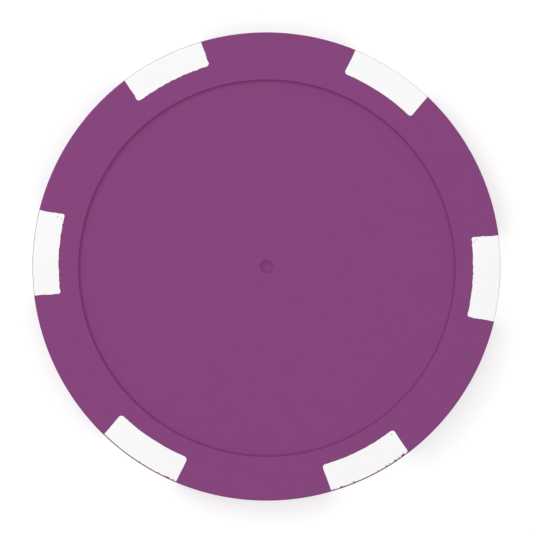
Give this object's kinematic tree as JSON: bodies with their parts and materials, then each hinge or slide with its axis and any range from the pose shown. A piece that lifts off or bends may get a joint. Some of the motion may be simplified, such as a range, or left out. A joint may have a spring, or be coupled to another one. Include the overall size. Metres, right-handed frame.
{
  "type": "casino chip",
  "caption": "Round weighted casino chip with contrasting edge spots, a shallow round label recess in each face and a steel slug inside.",
  "frame": {"origin": "centre of the back face's rim plane, where the chip rests when it lies flat", "axes": "+Z out of the front face along the chip's axis, +X through the middle of edge_spot_1, +Y to complete a right-handed frame"},
  "size_m": [0.039, 0.039, 0.0033],
  "materials": {
    "purple_abs": "satin",
    "white_abs": "satin",
    "slug_steel": "satin"
  },
  "bodies": {
    "root": {"front_shell": "purple_abs", "back_shell": "purple_abs", "steel_slug": "slug_steel", "edge_spot_1": "white_abs", "edge_spot_2": "white_abs", "edge_spot_3": "white_abs", "edge_spot_4": "white_abs", "edge_spot_5": "white_abs", "edge_spot_6": "white_abs"}
  },
  "joints": []
}
